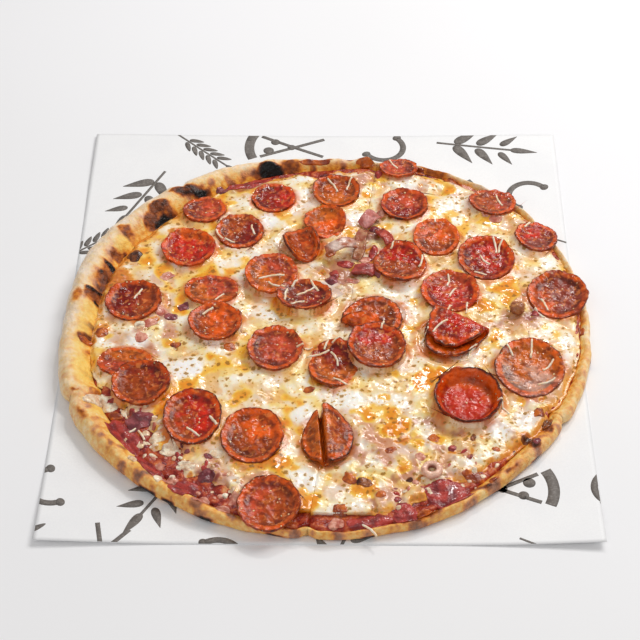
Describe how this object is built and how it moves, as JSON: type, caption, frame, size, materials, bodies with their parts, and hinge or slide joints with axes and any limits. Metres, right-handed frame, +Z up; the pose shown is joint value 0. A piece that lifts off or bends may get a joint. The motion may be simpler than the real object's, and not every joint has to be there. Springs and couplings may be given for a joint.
{
  "type": "pepperoni pizza on a paper sheet",
  "caption": "Thin round pepperoni pizza, sliced but kept whole, lying on a square-cornered sheet of printed food paper.",
  "frame": {"origin": "on the surface that the sheet lies on, at the middle of everything seen from above", "axes": "+X across the sheet to the right, +Y away from the front edge, along the sheet's long side, +Z up"},
  "size_m": [0.3136, 0.352, 0.0213],
  "materials": {
    "paper": "smooth off-white food paper with a grey-brown print",
    "crust": "baked dough, pale and floury at the side, golden on top, charred on the bubbles",
    "sauce": "moist dark red tomato sauce",
    "cheese": "melted cheese, cream with golden blisters and oily spots",
    "pepperoni": "oily brick-red sausage with dark crisp edges",
    "sausage_strip": "moist pink-red sausage",
    "browned_meat": "browned meat"
  },
  "bodies": {
    "root": {"paper_sheet": "paper", "crust_slice_1": "crust", "sauce_slice_1": "sauce", "cheese_slice_1": "cheese", "crust_slice_2": "crust", "sauce_slice_2": "sauce", "cheese_slice_2": "cheese", "crust_slice_3": "crust", "sauce_slice_3": "sauce", "cheese_slice_3": "cheese", "crust_slice_4": "crust", "sauce_slice_4": "sauce", "cheese_slice_4": "cheese", "crust_slice_5": "crust", "sauce_slice_5": "sauce", "cheese_slice_5": "cheese", "crust_slice_6": "crust", "sauce_slice_6": "sauce", "cheese_slice_6": "cheese", "pepperoni_01": "pepperoni", "pepperoni_02": "pepperoni", "pepperoni_03": "pepperoni", "pepperoni_04": "pepperoni", "pepperoni_05": "pepperoni", "pepperoni_06": "pepperoni", "pepperoni_07": "pepperoni", "pepperoni_08": "pepperoni", "pepperoni_09": "pepperoni", "pepperoni_10": "pepperoni", "pepperoni_11": "pepperoni", "pepperoni_12": "pepperoni", "pepperoni_13": "pepperoni", "pepperoni_14": "pepperoni", "pepperoni_15": "pepperoni", "pepperoni_16": "pepperoni", "pepperoni_17": "pepperoni", "pepperoni_18": "pepperoni", "pepperoni_19": "pepperoni", "pepperoni_20": "pepperoni", "pepperoni_21": "pepperoni", "pepperoni_22": "pepperoni", "pepperoni_23": "pepperoni", "pepperoni_24": "pepperoni", "pepperoni_25": "pepperoni", "pepperoni_26": "pepperoni", "pepperoni_27": "pepperoni", "pepperoni_28": "pepperoni", "pepperoni_29": "pepperoni", "pepperoni_30": "pepperoni", "pepperoni_31": "pepperoni", "pepperoni_32": "pepperoni", "pepperoni_33": "pepperoni", "pepperoni_34": "pepperoni", "meat_strip_1": "sausage_strip", "meat_strip_2": "sausage_strip", "meat_strip_3": "sausage_strip", "meat_strip_4": "sausage_strip", "meat_strip_5": "sausage_strip", "meat_nugget": "browned_meat", "soft_ring": "sausage_strip"}
  },
  "joints": []
}
